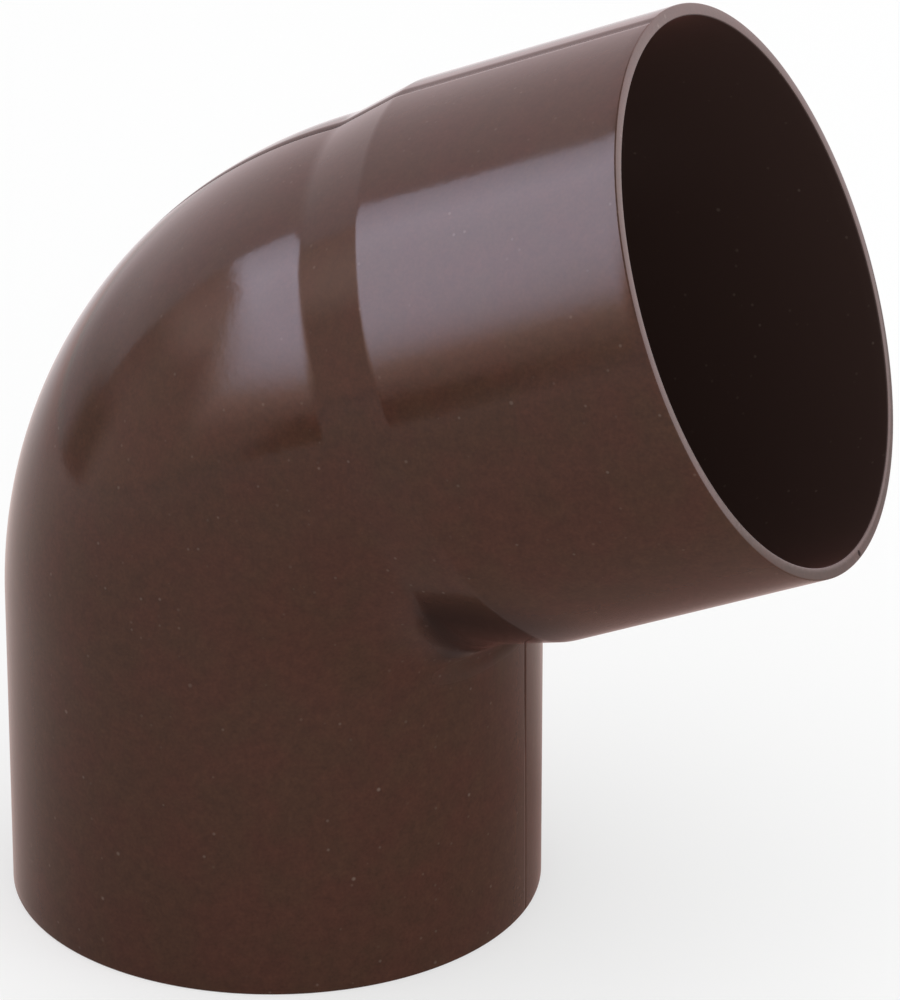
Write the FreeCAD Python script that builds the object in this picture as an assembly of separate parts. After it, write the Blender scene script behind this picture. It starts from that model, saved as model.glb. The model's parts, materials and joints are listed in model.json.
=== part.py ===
import FreeCAD, Part
import math
import os

# A moulded downspout elbow: a plain spigot at the bottom, a tight bend, and a socket at the top.
# Millimetres. The origin is the centre of the spigot's lower end, +Z runs up the spigot,
# and the socket leans over towards +X. The XZ plane is the plane of symmetry.

# Driving dimensions
PIPE_DIAMETER = 100.0        # outside of the spigot, and of the pipe that the socket takes
WALL = 2.3                   # the same all round
BEND_ANGLE = 67.0            # turn from the spigot's axis to the socket's axis, in degrees
THROAT_RADIUS = 0.8          # rounding of the inside corner of the bend, on the outer surface
SPIGOT_LENGTH = 59.3         # straight tube from the lower end up to the bend
NECK_LENGTH = 1.3            # straight tube between the bend and the shoulder
SHOULDER_SLOPE = 10.65       # lean of the shoulder's cone from the socket's axis, in degrees
HOLLOW_RADIUS = 14.0         # rounding where the neck opens into the cone, on the outer surface
CROWN_RADIUS = 7.0           # rounding where the cone meets the socket, on the outer surface
SOCKET_DEPTH = 50.9          # straight socket, from the shoulder to the mouth
SOCKET_CLEARANCE = 0.2       # gap between the pipe and the socket, on the radius
SPIGOT_EDGE_RADIUS = 0.5     # rounding of the lower end's outer edge
MOUTH_EDGE_RADIUS = 0.6      # rounding of the mouth's outer edge
LEAD_IN_WIDTH = 0.6          # bevel inside the mouth, across the rim
LEAD_IN_DEPTH = 1.2          # bevel inside the mouth, along the socket's axis

# Sizes that follow from them
SPIGOT_RADIUS = PIPE_DIAMETER / 2
PASSAGE_RADIUS = SPIGOT_RADIUS - WALL
SOCKET_BORE_RADIUS = SPIGOT_RADIUS + SOCKET_CLEARANCE
SOCKET_RADIUS = SOCKET_BORE_RADIUS + WALL
BEND_RADIUS = SPIGOT_RADIUS + THROAT_RADIUS
SHOULDER_RISE = SOCKET_RADIUS - SPIGOT_RADIUS
SHOULDER_TURN = math.radians(SHOULDER_SLOPE)

# Heights above the bend's end. The two roundings lengthen the shoulder beyond its sharp-cornered cone.
SHARP_CONE_LENGTH = SHOULDER_RISE / math.tan(SHOULDER_TURN)
ROUNDING_LENGTH = (HOLLOW_RADIUS + CROWN_RADIUS) * math.tan(SHOULDER_TURN / 2)
SHOULDER_START = NECK_LENGTH
SHOULDER_END = SHOULDER_START + SHARP_CONE_LENGTH + ROUNDING_LENGTH
MOUTH_HEIGHT = SHOULDER_END + SOCKET_DEPTH

Z_AXIS = FreeCAD.Vector(0, 0, 1)
Y_AXIS = FreeCAD.Vector(0, 1, 0)
ORIGIN = FreeCAD.Vector(0, 0, 0)


def at(radius, height):
    """A point of a wall section: distance from the tube's axis, and height along it."""
    return FreeCAD.Vector(radius, 0, height)


def line(start, end):
    return Part.LineSegment(start, end).toShape()


def arc_about(centre, radius, start_angle, end_angle):
    """An arc of a wall section, by its centre and by angles from straight outwards."""
    def on_arc(angle):
        return centre + at(radius * math.cos(angle), radius * math.sin(angle))

    middle = on_arc((start_angle + end_angle) / 2)
    return Part.Arc(on_arc(start_angle), middle, on_arc(end_angle)).toShape()


def revolved(edges):
    """A closed wall section turned about the tube's axis."""
    wire = Part.Wire(Part.__sortEdges__(edges))
    return Part.Face(wire).revolve(ORIGIN, Z_AXIS, 360)


def spigot():
    """The straight lower tube, with its outer lower edge rounded over."""
    edge_centre = at(SPIGOT_RADIUS - SPIGOT_EDGE_RADIUS, SPIGOT_EDGE_RADIUS)
    edges = [
        line(at(PASSAGE_RADIUS, 0), at(edge_centre.x, 0)),
        arc_about(edge_centre, SPIGOT_EDGE_RADIUS, -math.pi / 2, 0),
        line(at(SPIGOT_RADIUS, SPIGOT_EDGE_RADIUS), at(SPIGOT_RADIUS, SPIGOT_LENGTH)),
        line(at(SPIGOT_RADIUS, SPIGOT_LENGTH), at(PASSAGE_RADIUS, SPIGOT_LENGTH)),
        line(at(PASSAGE_RADIUS, SPIGOT_LENGTH), at(PASSAGE_RADIUS, 0)),
    ]
    return revolved(edges)


def bend():
    """The tube's ring-shaped section swept round the bend's axis."""
    start = at(0, SPIGOT_LENGTH)
    outer = Part.Wire(Part.makeCircle(SPIGOT_RADIUS, start, Z_AXIS))
    inner = Part.Wire(Part.makeCircle(PASSAGE_RADIUS, start, Z_AXIS))
    section = Part.Face(outer).cut(Part.Face(inner)).Faces[0]
    return section.revolve(at(BEND_RADIUS, SPIGOT_LENGTH), Y_AXIS, BEND_ANGLE)


def shoulder_line(offset):
    """The shoulder's hollow, cone and crown, set inwards from the outer surface by an offset."""
    hollow_centre = at(SPIGOT_RADIUS + HOLLOW_RADIUS, SHOULDER_START)
    crown_centre = at(SOCKET_RADIUS - CROWN_RADIUS, SHOULDER_END)
    across_cone = at(math.cos(SHOULDER_TURN), -math.sin(SHOULDER_TURN))
    hollow_radius = HOLLOW_RADIUS + offset
    crown_radius = CROWN_RADIUS - offset
    hollow = arc_about(hollow_centre, hollow_radius, math.pi, math.pi - SHOULDER_TURN)
    cone = line(hollow_centre - across_cone * hollow_radius, crown_centre + across_cone * crown_radius)
    crown = arc_about(crown_centre, crown_radius, -SHOULDER_TURN, 0)
    return [hollow, cone, crown]


def socket():
    """Neck, shoulder and socket, upright on the bend's end, before they are leaned over."""
    mouth_edge_centre = at(SOCKET_RADIUS - MOUTH_EDGE_RADIUS, MOUTH_HEIGHT - MOUTH_EDGE_RADIUS)
    lead_in_top = at(SOCKET_BORE_RADIUS + LEAD_IN_WIDTH, MOUTH_HEIGHT)
    lead_in_foot = at(SOCKET_BORE_RADIUS, MOUTH_HEIGHT - LEAD_IN_DEPTH)
    edges = [
        line(at(PASSAGE_RADIUS, 0), at(SPIGOT_RADIUS, 0)),
        line(at(SPIGOT_RADIUS, 0), at(SPIGOT_RADIUS, SHOULDER_START)),
        *shoulder_line(0),
        line(at(SOCKET_RADIUS, SHOULDER_END), at(SOCKET_RADIUS, mouth_edge_centre.z)),
        arc_about(mouth_edge_centre, MOUTH_EDGE_RADIUS, 0, math.pi / 2),
        line(at(mouth_edge_centre.x, MOUTH_HEIGHT), lead_in_top),
        line(lead_in_top, lead_in_foot),
        line(lead_in_foot, at(SOCKET_BORE_RADIUS, SHOULDER_END)),
        *shoulder_line(WALL),
        line(at(PASSAGE_RADIUS, SHOULDER_START), at(PASSAGE_RADIUS, 0)),
    ]
    return revolved(edges)


def leaned_over(piece):
    """Moves an upright piece to the end of the bend."""
    moved = piece.copy()
    moved.translate(at(0, SPIGOT_LENGTH))
    moved.rotate(at(BEND_RADIUS, SPIGOT_LENGTH), Y_AXIS, BEND_ANGLE)
    return moved


def elbow():
    """The whole moulding as one solid."""
    return spigot().fuse([bend(), leaned_over(socket())]).removeSplitter()


os.makedirs("parts", exist_ok=True)
moulding = elbow()
print("valid", moulding.isValid(), "solids", len(moulding.Solids), "volume", round(moulding.Volume, 1))
moulding.Solids[0].exportStep("parts/elbow.step")
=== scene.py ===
import json
import math
import bpy
from mathutils import Matrix, Vector


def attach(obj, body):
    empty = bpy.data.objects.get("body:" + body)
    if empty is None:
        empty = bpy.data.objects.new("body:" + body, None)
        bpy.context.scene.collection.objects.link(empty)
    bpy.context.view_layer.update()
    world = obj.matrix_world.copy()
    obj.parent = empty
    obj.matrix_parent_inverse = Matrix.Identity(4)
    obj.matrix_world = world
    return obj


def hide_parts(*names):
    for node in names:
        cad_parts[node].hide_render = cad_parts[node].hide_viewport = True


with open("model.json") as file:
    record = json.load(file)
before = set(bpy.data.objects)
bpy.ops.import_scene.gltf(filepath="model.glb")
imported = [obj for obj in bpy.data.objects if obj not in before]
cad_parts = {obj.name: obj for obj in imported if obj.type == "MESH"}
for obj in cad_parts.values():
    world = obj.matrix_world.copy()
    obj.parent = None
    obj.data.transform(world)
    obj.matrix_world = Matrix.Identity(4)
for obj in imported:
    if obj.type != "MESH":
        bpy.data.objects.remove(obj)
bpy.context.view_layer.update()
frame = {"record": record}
mounts = {mount["name"]: mount for mount in frame["record"]["mounts"]}

# Sizes in metres. The frame gives the radii, the wall and the bend, and the rest are the moulding's own.
MM = 0.001
SPIGOT_RADIUS = mounts["spigot"]["dims"]["r_mm"] * MM
SOCKET_BORE_RADIUS = mounts["socket"]["dims"]["r_mm"] * MM
WALL = 2 * (SPIGOT_RADIUS - mounts["lower_end"]["pos_m"][0])
BEND_ANGLE = math.atan2(mounts["socket"]["axis"][0], mounts["socket"]["axis"][2])
THROAT_RADIUS = 0.8 * MM
SPIGOT_EDGE_RADIUS = 0.5 * MM
SPIGOT_LENGTH = mounts["spigot"]["dims"]["length_mm"] * MM + SPIGOT_EDGE_RADIUS
NECK_LENGTH = 1.3 * MM
SHOULDER_SLOPE = math.radians(10.65)
HOLLOW_RADIUS = 14.0 * MM
CROWN_RADIUS = 7.0 * MM
RIM_EDGE_RADIUS = 0.25 * MM
BORE_TO_MOUTH = 1.2 * MM
SOCKET_DEPTH = mounts["socket"]["dims"]["length_mm"] * MM + BORE_TO_MOUTH

# Sizes that follow from them
PASSAGE_RADIUS = SPIGOT_RADIUS - WALL
SOCKET_RADIUS = SOCKET_BORE_RADIUS + WALL
BEND_RADIUS = SPIGOT_RADIUS + THROAT_RADIUS
SHOULDER_RISE = SOCKET_RADIUS - SPIGOT_RADIUS
ROUNDING_LENGTH = (HOLLOW_RADIUS + CROWN_RADIUS) * math.tan(SHOULDER_SLOPE / 2)
SHOULDER_LENGTH = SHOULDER_RISE / math.tan(SHOULDER_SLOPE) + ROUNDING_LENGTH

# Distances along the centre line at which one form ends and the next begins
BEND_START = SPIGOT_LENGTH
BEND_END = BEND_START + BEND_RADIUS * BEND_ANGLE
SHOULDER_START = BEND_END + NECK_LENGTH
SHOULDER_END = SHOULDER_START + SHOULDER_LENGTH
MOUTH = SHOULDER_END + SOCKET_DEPTH

# The mould's parting line, a groove along the throat and the back, a little out of the plane of symmetry.
# It is fine on the throat's side, and fades down the spigot, but wider and darker on the back.
THROAT_SEAM_TURN = math.radians(-1.3)
THROAT_SEAM_TURN_AT_FOOT = math.radians(-0.2)
BACK_SEAM_TURN = math.radians(0.5)
THROAT_SEAM_HALF_WIDTH = 0.6 * MM
THROAT_SEAM_DEPTH = 0.20 * MM
THROAT_SEAM_DEPTH_ON_SOCKET = 0.10 * MM
THROAT_SEAM_DEPTH_AT_FOOT = 0.07 * MM
BACK_SEAM_HALF_WIDTH = 1.9 * MM
BACK_SEAM_DEPTH = 0.45 * MM
BACK_SEAM_DEPTH_ON_SOCKET = 0.26 * MM
BACK_SEAM_DEPTH_AT_FOOT = 0.15 * MM

# Distances along the centre line between which the groove takes on its depth on the socket and on the spigot
SEAM_TO_SOCKET = (SHOULDER_END - 5 * MM, SHOULDER_END + 3 * MM)
SEAM_TO_SPIGOT = (BEND_START - 8 * MM, BEND_START - 30 * MM)

# How finely the mesh follows each form, in steps along it or round it
SPIGOT_STEPS = 24
BEND_STEPS = 84
NECK_STEPS = 3
SHOULDER_STEPS = 14
SOCKET_STEPS = 22
EDGE_STEPS = 6
SEAM_STEPS = 5
ROUND_STEPS = 200

# Where the even steps round the tube begin, in half widths from each groove's middle
THROAT_SEAM_CLEARANCE = 3
BACK_SEAM_CLEARANCE = 2

# Rings past the mouth's highest one that still belong to the rim, and the angle that makes an edge sharp
RIM_RINGS = 2
SHARP_ANGLE = math.radians(24)


def spaced(start, end, count):
    """Evenly spaced values from start up to, but not including, end."""
    return [start + (end - start) * step / count for step in range(count)]


def centre_line(run):
    """The tube's centre at a distance along its axis, and how far the axis leans there."""
    turn = min(max((run - BEND_START) / BEND_RADIUS, 0), BEND_ANGLE)
    x = BEND_RADIUS * (1 - math.cos(turn))
    z = min(run, BEND_START) + BEND_RADIUS * math.sin(turn)
    straight = max(run - BEND_END, 0)
    return Vector((x + straight * math.sin(turn), 0, z + straight * math.cos(turn))), turn


def around(run, angle, radius):
    """A point by its distance along the tube, its angle round the tube from the throat, and its radius."""
    centre, lean = centre_line(run)
    throat = Vector((math.cos(lean), 0, -math.sin(lean)))
    return centre + radius * (math.cos(angle) * throat + math.sin(angle) * Vector((0, 1, 0)))


def shoulder_line(offset):
    """The shoulder's hollow and crown as (run, radius), set inwards from the outer surface by an offset."""
    points = []
    for step in range(SHOULDER_STEPS + 1):
        turn = SHOULDER_SLOPE * step / SHOULDER_STEPS
        reach = HOLLOW_RADIUS + offset
        run = SHOULDER_START + reach * math.sin(turn)
        points.append((run, SPIGOT_RADIUS + HOLLOW_RADIUS - reach * math.cos(turn)))
    for step in range(SHOULDER_STEPS + 1):
        turn = SHOULDER_SLOPE * (1 - step / SHOULDER_STEPS)
        reach = CROWN_RADIUS - offset
        run = SHOULDER_END - reach * math.sin(turn)
        points.append((run, SOCKET_RADIUS - CROWN_RADIUS + reach * math.cos(turn)))
    return points


def wall_line(offset):
    """A long wall from the lower end to the mouth as (run, radius), set inwards by an offset."""
    runs = spaced(SPIGOT_EDGE_RADIUS, BEND_START, SPIGOT_STEPS)
    runs += spaced(BEND_START, BEND_END, BEND_STEPS)
    runs += spaced(BEND_END, SHOULDER_START, NECK_STEPS)
    line = [(run, SPIGOT_RADIUS - offset) for run in runs]
    line += shoulder_line(offset)
    socket_runs = spaced(SHOULDER_END, MOUTH - RIM_EDGE_RADIUS, SOCKET_STEPS)[1:]
    line += [(run, SOCKET_RADIUS - offset) for run in socket_runs]
    return line


def wall_section():
    """The wall's closed outline as (run, radius, on the outside) from the lower end round and back again."""
    outline = []
    for step in range(EDGE_STEPS):
        angle = math.pi / 2 * (step / EDGE_STEPS - 1)
        radius = SPIGOT_RADIUS + SPIGOT_EDGE_RADIUS * (math.cos(angle) - 1)
        outline.append((SPIGOT_EDGE_RADIUS * (1 + math.sin(angle)), radius, False))
    for run, radius in wall_line(0):
        outline.append((run, radius, True))
    for step in range(EDGE_STEPS + 1):
        angle = math.pi / 2 * step / EDGE_STEPS
        radius = SOCKET_RADIUS + RIM_EDGE_RADIUS * (math.cos(angle) - 1)
        outline.append((MOUTH + RIM_EDGE_RADIUS * (math.sin(angle) - 1), radius, step < EDGE_STEPS / 2))
    for step in range(EDGE_STEPS + 1):
        angle = math.pi / 2 * step / EDGE_STEPS
        radius = SOCKET_BORE_RADIUS + RIM_EDGE_RADIUS * (1 - math.sin(angle))
        outline.append((MOUTH + RIM_EDGE_RADIUS * (math.cos(angle) - 1), radius, False))
    for run, radius in reversed(wall_line(WALL)):
        outline.append((run, radius, False))
    outline.append((0, PASSAGE_RADIUS, False))
    return outline


def round_angles():
    """Angles round the tube from the parting line in the throat, with extra ones across both its grooves."""
    throat = THROAT_SEAM_HALF_WIDTH / SPIGOT_RADIUS
    back = BACK_SEAM_HALF_WIDTH / SPIGOT_RADIUS
    beside_throat = THROAT_SEAM_CLEARANCE * throat
    beside_back = BACK_SEAM_CLEARANCE * back
    steps = range(-SEAM_STEPS - 1, SEAM_STEPS + 2)
    angles = [throat * step / SEAM_STEPS for step in steps]
    angles += spaced(beside_throat, math.pi - beside_back, ROUND_STEPS // 2)
    angles.append(math.pi - beside_back)
    angles += [math.pi + back * step / SEAM_STEPS for step in steps]
    angles += spaced(math.pi + beside_back, 2 * math.pi - beside_throat, ROUND_STEPS // 2)
    angles.append(2 * math.pi - beside_throat)
    return angles


def share_of(value, start, end):
    """How far a value has come from start to end, as a smooth step from 0 to 1."""
    share = min(max((value - start) / (end - start), 0), 1)
    return share * share * (3 - 2 * share)


def seam_turn(run, angle):
    """How far the mesh is turned round the tube, so that both grooves lie on their parting lines."""
    up_spigot = share_of(run, 0, BEND_START)
    throat = THROAT_SEAM_TURN_AT_FOOT + (THROAT_SEAM_TURN - THROAT_SEAM_TURN_AT_FOOT) * up_spigot
    towards_back = 0.5 - 0.5 * math.cos(angle)
    return throat + (BACK_SEAM_TURN - throat) * towards_back


def groove(angle):
    """How far into a groove a place round the tube is, from 0 at its edge to 1 at its bottom."""
    on_back = math.cos(angle) < 0
    half_width = BACK_SEAM_HALF_WIDTH if on_back else THROAT_SEAM_HALF_WIDTH
    off = abs(math.remainder(angle, math.pi)) * SPIGOT_RADIUS / half_width
    return 0.5 + 0.5 * math.cos(math.pi * off) if off < 1 else 0


def seam_depth(run, angle):
    """The depth of the groove's bottom at a distance along the tube, on the throat's side or the back."""
    on_socket = share_of(run, *SEAM_TO_SOCKET)
    on_spigot = share_of(run, *SEAM_TO_SPIGOT)
    if math.cos(angle) < 0:
        bend, socket, foot = BACK_SEAM_DEPTH, BACK_SEAM_DEPTH_ON_SOCKET, BACK_SEAM_DEPTH_AT_FOOT
    else:
        bend, socket, foot = THROAT_SEAM_DEPTH, THROAT_SEAM_DEPTH_ON_SOCKET, THROAT_SEAM_DEPTH_AT_FOOT
    return bend + (socket - bend) * on_socket + (foot - bend) * on_spigot


def ring_faces(rings, spokes):
    """The faces between rings of points, each ring joined to the next and the last to the first."""
    faces = []
    for ring in range(rings):
        above = (ring + 1) % rings
        for spoke in range(spokes):
            beside = (spoke + 1) % spokes
            faces.append((ring * spokes + spoke, ring * spokes + beside,
                          above * spokes + beside, above * spokes + spoke))
    return faces


def add_values(mesh, name, values):
    """A named value at each point of a mesh, which the material reads."""
    mesh.attributes.new(name, "FLOAT", "POINT").data.foreach_set("value", values)


def elbow_mesh():
    """The whole moulding as one closed mesh."""
    outline = wall_section()
    angles = round_angles()
    points = []
    seam = []
    for run, radius, outside in outline:
        for angle in angles:
            into = groove(angle) if outside else 0
            depth = seam_depth(run, angle)
            seam.append(into * depth / BACK_SEAM_DEPTH)
            points.append(around(run, angle + seam_turn(run, angle), radius - into * depth))
    rings = len(outline)
    faces = ring_faces(rings, len(angles))
    mouth_ring = max(range(rings), key=lambda ring: outline[ring][0])
    inside = [float(ring > mouth_ring + RIM_RINGS) for ring in range(rings) for _ in angles]
    mesh = bpy.data.meshes.new("elbow_moulding")
    mesh.from_pydata(points, [], faces)
    add_values(mesh, "inside", inside)
    add_values(mesh, "seam", seam)
    mesh.polygons.foreach_set("use_smooth", [True] * len(faces))
    mesh.set_sharp_from_angle(angle=SHARP_ANGLE)
    mesh.validate()
    return mesh


class Nodes:
    """Adds nodes to a material or world, and wires their inputs."""

    def __init__(self, tree):
        self.tree = tree
        tree.nodes.clear()

    def add(self, kind, inputs=None, **settings):
        node = self.tree.nodes.new(kind)
        for name, value in settings.items():
            setattr(node, name, value)
        for name, value in (inputs or {}).items():
            self.fill(node.inputs[name], value)
        return node

    def fill(self, socket, value):
        """Wires an input to another node's output, or sets it to a plain value."""
        if isinstance(value, bpy.types.NodeSocket):
            self.tree.links.new(value, socket)
        else:
            socket.default_value = value

    def place(self):
        """The object's own coordinates, apart."""
        where = self.add("ShaderNodeTexCoord").outputs["Object"]
        return self.add("ShaderNodeSeparateXYZ", {"Vector": where}).outputs

    def value(self, name):
        """A value that the mesh holds at its points."""
        return self.add("ShaderNodeAttribute", attribute_name=name).outputs["Fac"]

    def noise(self, where, scale, detail, roughness):
        inputs = {"Vector": where, "Scale": scale, "Detail": detail, "Roughness": roughness}
        return self.add("ShaderNodeTexNoise", inputs).outputs["Fac"]

    def ramp(self, value, low, high, start=0.0, end=1.0):
        inputs = {"Value": value, "From Min": low, "From Max": high, "To Min": start, "To Max": end}
        return self.add("ShaderNodeMapRange", inputs).outputs["Result"]

    def smooth(self, value, low, high):
        inputs = {"Value": value, "From Min": low, "From Max": high}
        return self.add("ShaderNodeMapRange", inputs, interpolation_type="SMOOTHSTEP").outputs["Result"]

    def specks(self, where, scale, size, rarity):
        """Round specks, one in some cells of a given scale, in a share of the cells that rarity leaves."""
        cells = self.add("ShaderNodeTexVoronoi", {"Vector": where, "Scale": scale, "Randomness": 1.0})
        dot = self.ramp(cells.outputs["Distance"], size * SPECK_CORE, size, 1.0, 0.0)
        chance = self.add("ShaderNodeSeparateColor", {"Color": cells.outputs["Color"]}).outputs["Red"]
        return self.times(dot, self.ramp(chance, rarity, 1.0))

    def math(self, operation, first, second=0.0):
        return self.add("ShaderNodeMath", {0: first, 1: second}, operation=operation).outputs["Value"]

    def times(self, first, second):
        return self.math("MULTIPLY", first, second)

    def most(self, first, second):
        return self.math("MAXIMUM", first, second)

    def less(self, first, second):
        return self.math("SUBTRACT", first, second)

    def length(self, first, second):
        """The length of a line that goes first one way and then squarely to it the other."""
        square = self.math("ADD", self.times(first, first), self.times(second, second))
        return self.math("SQRT", square)

    def mix(self, share, first, second):
        node = self.add("ShaderNodeMix", {"Factor": share}, data_type="RGBA")
        for name, value in (("A", first), ("B", second)):
            socket = [s for s in node.inputs if s.name == name and s.type == "RGBA"][0]
            self.fill(socket, value)
        return [s for s in node.outputs if s.type == "RGBA"][0]

    def surface(self, shader):
        self.add("ShaderNodeOutputMaterial", {"Surface": shader})

    def glow(self, colour, strength):
        """A surface that only gives light."""
        light = self.add("ShaderNodeEmission", {"Color": colour, "Strength": strength})
        self.surface(light.outputs["Emission"])


def new_material(name):
    material = bpy.data.materials.new(name)
    material.use_nodes = True
    return material, Nodes(material.node_tree)


# Colours of the plastic and of what lies on it. The grime's colour also paints the shade above the throat's
# crease.
BROWN_RED = (0.0621, 0.0247, 0.0163, 1)
BROWN_OLIVE = (0.0573, 0.0262, 0.0163, 1)
# The inside brown is darker as painted shade in the bore
BROWN_INSIDE_SHADED = (0.0330, 0.0188, 0.0160, 1)
DUST = (0.20, 0.155, 0.13, 1)
GRIME_AND_SHADE = (0.012, 0.0075, 0.0065, 1)

# Patterns in the plastic as (repeats per metre, detail, roughness), and the spread of values that shows
MOTTLE = (110, 3, 0.5)
MOTTLE_SPREAD = (0.38, 0.62)
CLOUD = (420, 3, 0.6)
GRAIN = (1500, 2, 0.5)
DARKENING_SPREAD = (0.3, 0.7)
CLOUD_SHARE = 0.24
GRAIN_SHARE = 0.26
SMEAR = (45, 3, 0.5)
SMEAR_SPREAD = (0.35, 0.7)
PEEL = (700, 2, 0.5)
PEEL_STRENGTH = 0.06
PEEL_DEPTH = 0.2 * MM

# Specks of dust all over and crumbs in the throat, each as (cells per metre, size in the cell, rarity)
COARSE_DUST = (260.0, 0.13, 0.93)
FINE_DUST = (520.0, 0.20, 0.82)
CRUMBS = (700.0, 0.24, 0.55)
SPECK_CORE = 0.4
FINE_DUST_SHARE = 0.6
DUST_SHARE = 0.4

# Where crumbs, the painted shade and the dull crease lie in the throat. Each pair runs from none of it to all
# of it, by the distance from the bend's own axis, by the height above that axis, or by how far out from it a
# place is.
CRUMBS_BY_DISTANCE = (16 * MM, 5 * MM)
CRUMBS_BY_HEIGHT = (-0.3 * MM, 0.5 * MM)
PAINTED_SHADE_BY_DISTANCE = (31 * MM, 18 * MM)
PAINTED_SHADE_BY_HEIGHT = (2 * MM, 5 * MM)
PAINTED_SHADE_BY_REACH = (-10 * MM, -5 * MM)
CREASE_BY_DISTANCE = (13 * MM, 3 * MM)
CREASE_FROM_ABOVE = (4 * MM, 1 * MM)
CREASE_FROM_BELOW = (-4 * MM, 0.5 * MM)
# How dark the painted shade above the throat's crease is, and how dark the parting line is
PAINTED_SHADE_SHARE = 0.95
SEAM_DARKENING_SHARE = 0.8

# A dark nick on the mouth's rim, where the parting line comes out of the throat
NICK_PLACE = around(MOUTH, THROAT_SEAM_TURN, SOCKET_RADIUS - 0.4 * WALL)
NICK_SIZE = 0.75 * MM
NICK_CORE = 0.6 * NICK_SIZE
NICK_SHARE = 0.9

# Roughness of the smooth plastic, from its glossiest to its dullest smear, and of the duller places
SMEAR_ROUGHNESS = (0.10, 0.14)
CREASE_ROUGHNESS = 0.85
INSIDE_ROUGHNESS = 0.36
SEAM_ROUGHNESS = 0.6


def throat_place(n, where):
    """The distance from the bend's own axis, and how far out and up from it."""
    place = n.add("ShaderNodeSeparateXYZ", {"Vector": where}).outputs
    across = n.less(place["X"], BEND_RADIUS)
    up = n.less(place["Z"], SPIGOT_LENGTH)
    return n.length(across, up), across, up


def plastic_colour(n, where, inside):
    """Brown that varies faintly from red to olive, with small clouds and a fine grain, and darker inside as
    painted shade in the bore.
    """
    mottle = n.ramp(n.noise(where, *MOTTLE), *MOTTLE_SPREAD)
    plastic = n.mix(mottle, BROWN_OLIVE, BROWN_RED)
    for pattern, share in ((CLOUD, CLOUD_SHARE), (GRAIN, GRAIN_SHARE)):
        darker = n.ramp(n.noise(where, *pattern), *DARKENING_SPREAD)
        plastic = n.mix(n.times(darker, share), plastic, GRIME_AND_SHADE)
    # Painted shade in the bore: the inside is a darker brown
    return n.mix(inside, plastic, BROWN_INSIDE_SHADED)


def dust_cover(n, where, distance, up):
    """How much dust lies at a place: specks all over, and crumbs in the throat."""
    fine = n.times(n.specks(where, *FINE_DUST), FINE_DUST_SHARE)
    dust = n.most(n.specks(where, *COARSE_DUST), fine)
    crumbs = n.times(n.specks(where, *CRUMBS), n.smooth(distance, *CRUMBS_BY_DISTANCE))
    return n.most(dust, n.times(crumbs, n.smooth(up, *CRUMBS_BY_HEIGHT)))


def shade_and_seam_cover(n, seam, distance, across, up):
    """How dark a place is painted: painted shade above the throat's crease, and darker along the parting
    line.
    """
    # Painted shade: darker above the throat's crease near the bend's axis, where the socket shades the throat
    throat_shade = n.times(n.smooth(distance, *PAINTED_SHADE_BY_DISTANCE), n.smooth(up, *PAINTED_SHADE_BY_HEIGHT))
    throat_shade = n.times(throat_shade, n.smooth(across, *PAINTED_SHADE_BY_REACH))
    return n.most(n.times(throat_shade, PAINTED_SHADE_SHARE), n.times(seam, SEAM_DARKENING_SHARE))


def nick_cover(n, where):
    """How much of the nick is at a place."""
    inputs = {0: where, 1: NICK_PLACE}
    distance = n.add("ShaderNodeVectorMath", inputs, operation="DISTANCE").outputs["Value"]
    return n.ramp(distance, NICK_CORE, NICK_SIZE, NICK_SHARE, 0.0)


def dullness(n, where, inside, seam, nick, distance, up):
    """The roughness: faint smears, and duller in the crease, the nick, the bore and the parting line."""
    smear = n.ramp(n.noise(where, *SMEAR), *SMEAR_SPREAD, *SMEAR_ROUGHNESS)
    crease = n.times(n.smooth(distance, *CREASE_BY_DISTANCE), n.smooth(up, *CREASE_FROM_ABOVE))
    crease = n.times(crease, n.smooth(up, *CREASE_FROM_BELOW))
    dull = n.most(smear, n.times(crease, CREASE_ROUGHNESS))
    dull = n.most(dull, nick)
    dull = n.most(dull, n.times(inside, INSIDE_ROUGHNESS))
    return n.most(dull, n.times(seam, SEAM_ROUGHNESS))


def brown_pvc():
    """Glossy brown plastic with a faint mottle, a fine orange peel, painted shade in the throat and the bore,
    a darker parting line, a dark nick and scattered dust.
    """
    material, n = new_material("brown_pvc")
    where = n.add("ShaderNodeTexCoord").outputs["Object"]
    inside = n.value("inside")
    seam = n.value("seam")
    distance, across, up = throat_place(n, where)
    nick = nick_cover(n, where)
    colour = plastic_colour(n, where, inside)
    # Painted shade above the throat's crease and the darker parting line, then the dark nick
    colour = n.mix(shade_and_seam_cover(n, seam, distance, across, up), colour, GRIME_AND_SHADE)
    colour = n.mix(nick, colour, GRIME_AND_SHADE)
    colour = n.mix(n.times(dust_cover(n, where, distance, up), DUST_SHARE), colour, DUST)
    peel = {"Height": n.noise(where, *PEEL), "Strength": PEEL_STRENGTH, "Distance": PEEL_DEPTH}
    bump = n.add("ShaderNodeBump", peel)
    shader = n.add("ShaderNodeBsdfPrincipled", {
        "Base Color": colour,
        "Roughness": dullness(n, where, inside, seam, nick, distance, up),
        "IOR": 1.5,
        "Specular IOR Level": 0.15,
        "Sheen Weight": 0.06,
        "Sheen Roughness": 0.35,
        "Sheen Tint": (1.0, 0.35, 0.28, 1),
        "Normal": bump.outputs["Normal"],
    })
    n.surface(shader.outputs["BSDF"])
    return material


def add_elbow():
    elbow = bpy.data.objects.new("elbow_moulding", elbow_mesh())
    bpy.context.scene.collection.objects.link(elbow)
    elbow.data.materials.append(brown_pvc())
    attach(elbow, "root")
    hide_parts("elbow")


FLOOR_RADIUS = 6.0
FLOOR_CORNERS = 96
FLOOR_COLOUR = (0.95, 0.95, 0.95, 1)
FLOOR_WHITENING = 0.5
WHITE = (1, 1, 1, 1)


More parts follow.
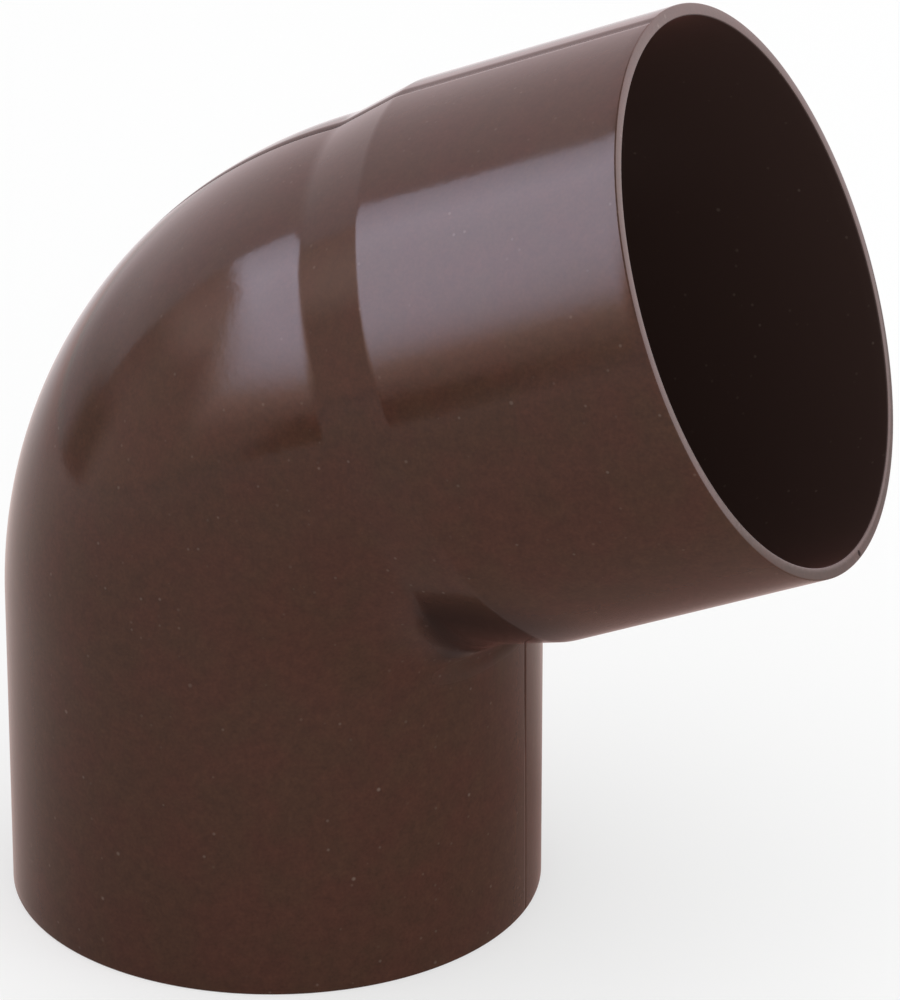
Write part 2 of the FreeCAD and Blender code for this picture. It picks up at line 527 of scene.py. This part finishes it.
def pale_floor():
    """A matt pale floor that looks whiter than its light makes it, and keeps the shadow."""
    material, n = new_material("pale_floor")
    shader = n.add("ShaderNodeBsdfDiffuse", {"Color": FLOOR_COLOUR})
    white = n.add("ShaderNodeEmission", {"Color": WHITE, "Strength": 1.0})
    ray = n.add("ShaderNodeLightPath").outputs
    seen = n.most(ray["Is Camera Ray"], ray["Is Glossy Ray"])
    seen = n.most(seen, ray["Is Transmission Ray"])
    share = n.times(seen, FLOOR_WHITENING)
    floor = n.add("ShaderNodeMixShader", {0: share, 1: shader.outputs["BSDF"], 2: white.outputs["Emission"]})
    n.surface(floor.outputs["Shader"])
    return material


def add_floor():
    bpy.ops.mesh.primitive_circle_add(vertices=FLOOR_CORNERS, radius=FLOOR_RADIUS, fill_type="NGON")
    floor = bpy.context.active_object
    floor.name = "floor"
    floor.data.materials.append(pale_floor())


def add_panel(name, points, faces, material):
    """A light or a card that shows in the gloss and adds no shading of its own."""
    mesh = bpy.data.meshes.new(name)
    mesh.from_pydata(points, [], faces)
    mesh.materials.append(material)
    panel = bpy.data.objects.new(name, mesh)
    bpy.context.scene.collection.objects.link(panel)
    panel.visible_camera = False
    panel.visible_diffuse = False
    panel.visible_shadow = False


# The softbox stands on the left and faces along +X. Its light ends sharply on the side towards the back,
# and fades below and towards the front, where it turns from lilac to a warm glow.
SOFTBOX_DISTANCE = 0.9
SOFTBOX_SIDES = (-2.4, 0.02)
SOFTBOX_TOP = 1.7
SOFTBOX_STRENGTH = 14.5
SOFTBOX_STRENGTH_AT_BACK = 0.58 * SOFTBOX_STRENGTH
SOFTBOX_COLOURS = (
    (0.00, (0.13, 0.091, 0.083, 1)),
    (0.30, (0.36, 0.250, 0.225, 1)),
    (0.65, (0.67, 0.575, 0.665, 1)),
    (1.00, (0.90, 0.830, 1.000, 1)),
)

# The fade below ends at one height, and starts at a foot that rises towards the back. A dim skirt hangs below
# it at the back. Pairs of places along Y or Z come first, and the values at them second.
SOFTBOX_FOOT_ALONG = (-0.80, -0.25)
SOFTBOX_FOOT_HEIGHTS = (0.07, 0.62)
SOFTBOX_FADE_TOP = 0.70
SOFTBOX_FRONT_FADE = (-2.3, -0.75)
SOFTBOX_BACK_FADE = (-0.25, 0.02)
SKIRT_RISE = (0.34, 0.48)
SKIRT_ALONG = (-0.55, -0.40)
SKIRT_LEVELS = (0.0, 0.19)


def colour_ramp(n, value, stops):
    """A colour that follows a value through stops, each as (value, colour)."""
    ramp = n.add("ShaderNodeValToRGB", {"Fac": value})
    elements = ramp.color_ramp.elements
    while len(elements) < len(stops):
        elements.new(0.5)
    for element, (position, colour) in zip(elements, stops):
        element.position = position
        element.color = colour
    return ramp.outputs["Color"]


def softbox_light():
    material, n = new_material("softbox_light")
    place = n.place()
    foot = n.ramp(place["Y"], *SOFTBOX_FOOT_ALONG, *SOFTBOX_FOOT_HEIGHTS)
    fade_length = n.less(SOFTBOX_FADE_TOP, foot)
    rise = n.smooth(n.math("DIVIDE", n.less(place["Z"], foot), fade_length), 0.0, 1.0)
    lit = n.times(rise, n.smooth(place["Y"], *SOFTBOX_FRONT_FADE))
    skirt = n.times(n.smooth(place["Z"], *SKIRT_RISE), n.ramp(place["Y"], *SKIRT_ALONG, *SKIRT_LEVELS))
    colour = colour_ramp(n, n.most(lit, skirt), SOFTBOX_COLOURS)
    strengths = (SOFTBOX_STRENGTH, SOFTBOX_STRENGTH_AT_BACK)
    n.glow(colour, n.ramp(place["Y"], *SOFTBOX_BACK_FADE, *strengths))
    return material


def add_softbox():
    x = -SOFTBOX_DISTANCE
    front, back = SOFTBOX_SIDES
    points = [(x, front, 0.0), (x, back, 0.0), (x, back, SOFTBOX_TOP), (x, front, SOFTBOX_TOP)]
    add_panel("softbox", points, [(0, 1, 2, 3)], softbox_light())


# The backdrop curves round behind the object. It is lit more brightly towards its top, its right and its left
# end, and less in the lower left corner. Pairs of places come first, and the factors at them second.
BACKDROP_RADIUS = 1.1
BACKDROP_HEIGHT = 1.42
BACKDROP_ANGLES = (35, 180)
BACKDROP_STEPS = 48
BACKDROP_LOW = (1.15, 1.0, 1.03, 1)
BACKDROP_HIGH = (1.40, 1.0, 1.03, 1)
BACKDROP_STRENGTHS = (1.05, 2.1)
BACKDROP_RIGHT_ALONG = (-0.2, 0.58)
BACKDROP_RIGHT_FACTORS = (1.0, 2.1)
BACKDROP_LEFT_ALONG = (-1.0, -0.55)
BACKDROP_LEFT_FACTORS = (1.3, 1.0)
BACKDROP_CORNER_ALONG = (-0.75, -1.0)
BACKDROP_CORNER_RISE = (0.35, 0.10)
BACKDROP_CORNER_FACTOR = 0.65


def backdrop_light():
    material, n = new_material("backdrop_light")
    place = n.place()
    height = n.ramp(place["Z"], 0.0, BACKDROP_HEIGHT)
    right = n.ramp(place["X"], *BACKDROP_RIGHT_ALONG, *BACKDROP_RIGHT_FACTORS)
    left = n.ramp(place["X"], *BACKDROP_LEFT_ALONG, *BACKDROP_LEFT_FACTORS)
    corner = n.smooth(place["X"], *BACKDROP_CORNER_ALONG)
    corner = n.times(corner, n.smooth(place["Z"], *BACKDROP_CORNER_RISE))
    left = n.times(left, n.ramp(corner, 0.0, 1.0, 1.0, BACKDROP_CORNER_FACTOR))
    strength = n.times(n.ramp(height, 0.0, 1.0, *BACKDROP_STRENGTHS), n.times(right, left))
    n.glow(n.mix(height, BACKDROP_LOW, BACKDROP_HIGH), strength)
    return material


def add_backdrop():
    start, end = (math.radians(angle) for angle in BACKDROP_ANGLES)
    points = []
    for step in range(BACKDROP_STEPS + 1):
        angle = start + (end - start) * step / BACKDROP_STEPS
        x, y = BACKDROP_RADIUS * math.cos(angle), BACKDROP_RADIUS * math.sin(angle)
        points += [(x, y, 0.0), (x, y, BACKDROP_HEIGHT)]
    faces = [(2 * step, 2 * step + 2, 2 * step + 3, 2 * step + 1) for step in range(BACKDROP_STEPS)]
    add_panel("backdrop", points, faces, backdrop_light())


# Two dark flags stand on the floor. The front one draws the dim streak below the softbox's reflection,
# and the far one the dim patch at the left of the bend. Each is (bearing, distance, width, height, colour).
FLAGS = (
    (-115, 0.75, 0.24, 0.17, (0.25, 0.17, 0.15, 1)),
    (182, 0.80, 0.44, 0.22, (0.50, 0.36, 0.33, 1)),
)

# A flag's soft edges, from clear to covered, as shares of its width from the middle and of its height
FLAG_SIDE_FADE = (0.5, 0.1)
FLAG_TOP_FADE = (1.0, 0.5)


def flag_card(colour):
    """A dim card that fades out at its sides and its top."""
    material, n = new_material("dark_card")
    card = n.add("ShaderNodeEmission", {"Color": colour, "Strength": 1.0})
    clear = n.add("ShaderNodeBsdfTransparent")
    share = n.add("ShaderNodeTexCoord").outputs["Generated"]
    place = n.add("ShaderNodeSeparateXYZ", {"Vector": share}).outputs
    from_middle = n.math("ABSOLUTE", n.less(place["X"], 0.5))
    cover = n.times(n.smooth(from_middle, *FLAG_SIDE_FADE), n.smooth(place["Z"], *FLAG_TOP_FADE))
    flag = n.add("ShaderNodeMixShader", {0: cover, 1: clear.outputs["BSDF"], 2: card.outputs["Emission"]})
    n.surface(flag.outputs["Shader"])
    return material


def add_flag(bearing, distance, width, height, colour):
    out = Vector((math.cos(math.radians(bearing)), math.sin(math.radians(bearing)), 0))
    along = Vector((-out.y, out.x, 0)) * width / 2
    up = Vector((0, 0, height))
    foot = out * distance
    points = [foot - along, foot + along, foot + along + up, foot - along + up]
    add_panel("flag", points, [(0, 1, 2, 3)], flag_card(colour))


# A card lies on the floor and shows in the gloss only, a painted reflection of the floor. It is warm in front
# and to the left, neutral behind and darker under the socket with a painted shadow of the elbow, which is
# narrower towards the back.
CARD_RADIUS = 0.85
CARD_HEIGHT = 0.2 * MM
CARD_CORNERS = 64
CARD_SHADOW_PLACE = (0.06, 0.03)
CARD_SHADOW_NARROWING = 1.4
CARD_SHADOW = (0.36, 0.26, 0.24, 1)
CARD_WARM = (0.95, 0.80, 0.76, 1)
CARD_GLOW = (1.50, 1.20, 1.16, 1)
CARD_BACK = (1.18, 1.10, 1.13, 1)
CARD_BACK_LEFT = (1.15, 0.88, 0.86, 1)

# Places between which one of its colours passes into the next, along X or Y or out from the painted shadow's
# place
CARD_LEFT_TO_BACK = (-0.60, -0.25)
CARD_GLOW_TO_BACK = (0.0, 0.2)
CARD_WARM_TO_FAR = (0.20, 0.80)
CARD_FRONT_TO_BACK = (0.15, 0.35)
CARD_SHADOW_TO_OUTER = (0.03, 0.23)


def painted_floor_reflection():
    material, n = new_material("painted_floor_reflection")
    place = n.place()
    right = n.less(place["X"], CARD_SHADOW_PLACE[0])
    back = n.less(place["Y"], CARD_SHADOW_PLACE[1])
    back = n.most(back, n.times(back, CARD_SHADOW_NARROWING))
    reach = n.length(right, back)
    behind = n.mix(n.smooth(place["X"], *CARD_LEFT_TO_BACK), CARD_BACK_LEFT, CARD_BACK)
    far = n.mix(n.smooth(place["Y"], *CARD_GLOW_TO_BACK), CARD_GLOW, behind)
    outer = n.mix(n.ramp(reach, *CARD_WARM_TO_FAR), CARD_WARM, far)
    outer = n.mix(n.smooth(place["Y"], *CARD_FRONT_TO_BACK), outer, behind)
    # Painted shadow of the elbow under the socket, passing out into the painted reflection of the floor
    n.glow(n.mix(n.ramp(reach, *CARD_SHADOW_TO_OUTER), CARD_SHADOW, outer), 1.0)
    return material


def add_card():
    turns = spaced(0, 2 * math.pi, CARD_CORNERS)
    points = [(CARD_RADIUS * math.cos(turn), CARD_RADIUS * math.sin(turn), CARD_HEIGHT) for turn in turns]
    add_panel("card", points, [tuple(range(CARD_CORNERS))], painted_floor_reflection())


# Two weak lamps. A warm one at the front right lifts the far wall inside the mouth, and a cool one at the
# right lifts the spigot's right side and the rim. Each is (place, power, colour).
LAMPS = (
    (Vector((0.85, -0.75, 0.35)), 1.6, (1.0, 0.86, 0.80)),
    (Vector((1.14, -0.06, 0.43)), 2.4, (0.85, 1.0, 1.0)),
)
LAMP_AIM = Vector((0.04, 0, 0.08))
LAMP_SIZE = 0.6


def add_side_lamp(place, power, colour):
    data = bpy.data.lights.new("side_lamp", "AREA")
    data.size = LAMP_SIZE
    data.energy = power
    data.color = colour
    lamp = bpy.data.objects.new("side_lamp", data)
    bpy.context.scene.collection.objects.link(lamp)
    lamp.location = place
    lamp.rotation_euler = (LAMP_AIM - place).to_track_quat("-Z", "Y").to_euler()
    lamp.visible_glossy = False


def add_world():
    """Even white light from all sides."""
    world = bpy.data.worlds.new("studio")
    bpy.context.scene.world = world
    world.use_nodes = True
    n = Nodes(world.node_tree)
    sky = n.add("ShaderNodeBackground", {"Color": WHITE, "Strength": 1.0})
    n.add("ShaderNodeOutputWorld", {"Surface": sky.outputs["Background"]})


# The camera looks at a point inside the elbow, from the front, a little to the right and above
CAMERA_AIM = Vector((34.53, 0.76, 81.90)) * MM
CAMERA_AZIMUTH = math.radians(20.308)
CAMERA_ELEVATION = math.radians(24.766)
CAMERA_ROLL = math.radians(0.054)
CAMERA_DISTANCE = 1.19025
CAMERA_LENS = 234.3
SENSOR_HEIGHT = 36.0


def add_camera():
    data = bpy.data.cameras.new("camera")
    data.sensor_fit = "VERTICAL"
    data.sensor_height = SENSOR_HEIGHT
    data.lens = CAMERA_LENS
    camera = bpy.data.objects.new("camera", data)
    bpy.context.scene.collection.objects.link(camera)
    turn = Matrix.Rotation(CAMERA_AZIMUTH, 4, "Z")
    tilt = Matrix.Rotation(math.radians(90) - CAMERA_ELEVATION, 4, "X")
    roll = Matrix.Rotation(CAMERA_ROLL, 4, "Z")
    step_back = Matrix.Translation((0, 0, CAMERA_DISTANCE))
    camera.matrix_world = Matrix.Translation(CAMERA_AIM) @ turn @ tilt @ roll @ step_back
    bpy.context.scene.camera = camera


add_elbow()
add_floor()
add_softbox()
add_backdrop()
for flag in FLAGS:
    add_flag(*flag)
add_card()
for lamp in LAMPS:
    add_side_lamp(*lamp)
add_world()
add_camera()
bpy.context.scene.view_settings.view_transform = "Standard"

bpy.context.view_layer.update()
